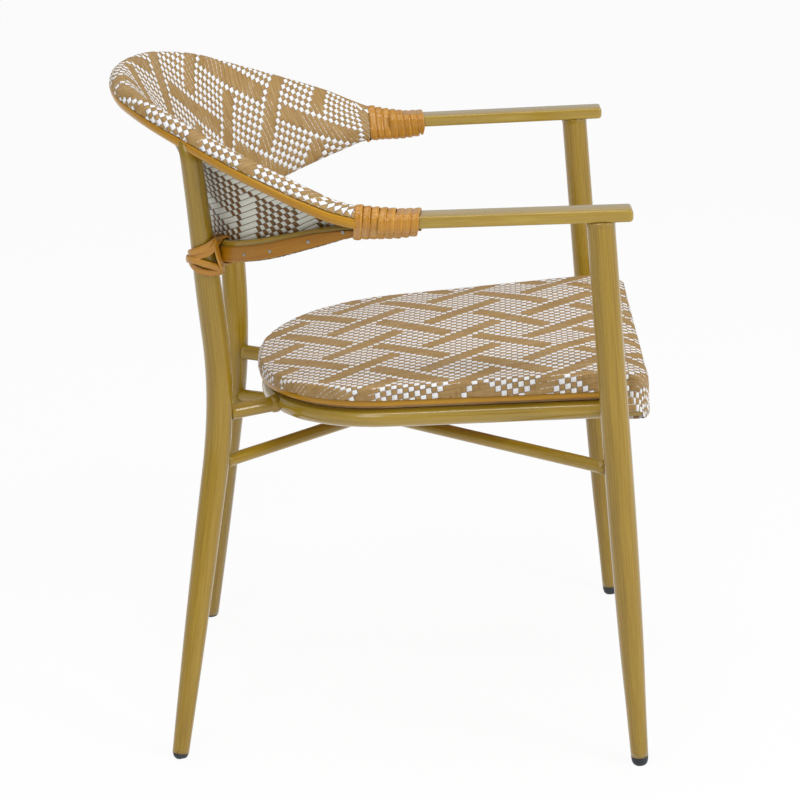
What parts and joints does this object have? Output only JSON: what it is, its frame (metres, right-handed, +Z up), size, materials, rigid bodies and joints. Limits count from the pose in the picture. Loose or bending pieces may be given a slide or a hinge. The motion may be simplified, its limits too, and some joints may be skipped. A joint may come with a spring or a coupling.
{
  "type": "stacking bistro armchair",
  "caption": "Bistro armchair of bamboo-look painted tube, with a wrapped woven back and a woven seat pad.",
  "frame": {"origin": "centre of the bounding box in x and y, on the floor plane", "axes": "+X towards the sitter's left, -Y towards the front of the chair, +Z up from the floor"},
  "size_m": [0.562, 0.6084, 0.7845],
  "materials": {
    "bamboo_paint": "satin olive-gold bamboo-look paint with fine lengthwise streaks",
    "caramel_strip": "semi-gloss caramel rattan-look strip",
    "lashing_cord": "flat rattan-look binding cord with a soft sheen",
    "woven_back": "two-tone tan and white synthetic rattan weave",
    "woven_seat": "two-tone tan and white synthetic rattan weave",
    "seat_plywood": "raw plywood board",
    "black_caps": "matt black moulded plastic"
  },
  "bodies": {
    "root": {"front_leg_right": "bamboo_paint", "foot_cap_front_right": "black_caps", "rear_leg_right": "bamboo_paint", "foot_cap_rear_right": "black_caps", "armrest_right": "bamboo_paint", "arm_lashing_right": "lashing_cord", "rear_knot_right": "lashing_cord", "seat_stub_right": "bamboo_paint", "seat_connector_right": "bamboo_paint", "front_leg_left": "bamboo_paint", "foot_cap_front_left": "black_caps", "rear_leg_left": "bamboo_paint", "foot_cap_rear_left": "black_caps", "armrest_left": "bamboo_paint", "arm_lashing_left": "lashing_cord", "rear_knot_left": "lashing_cord", "seat_stub_left": "bamboo_paint", "seat_connector_left": "bamboo_paint", "back_upper_tube": "bamboo_paint", "back_lower_rail": "bamboo_paint", "back_upper_trim": "caramel_strip", "back_lower_trim": "caramel_strip", "back_woven_panel": "woven_back", "seat_ring": "bamboo_paint", "seat_front_rail": "bamboo_paint", "seat_board": "seat_plywood", "seat_trim_strip": "caramel_strip", "seat_pad": "woven_seat", "seat_front_wrap": "woven_seat", "brace_bar_lower": "bamboo_paint", "brace_bar_upper": "bamboo_paint"}
  },
  "joints": []
}
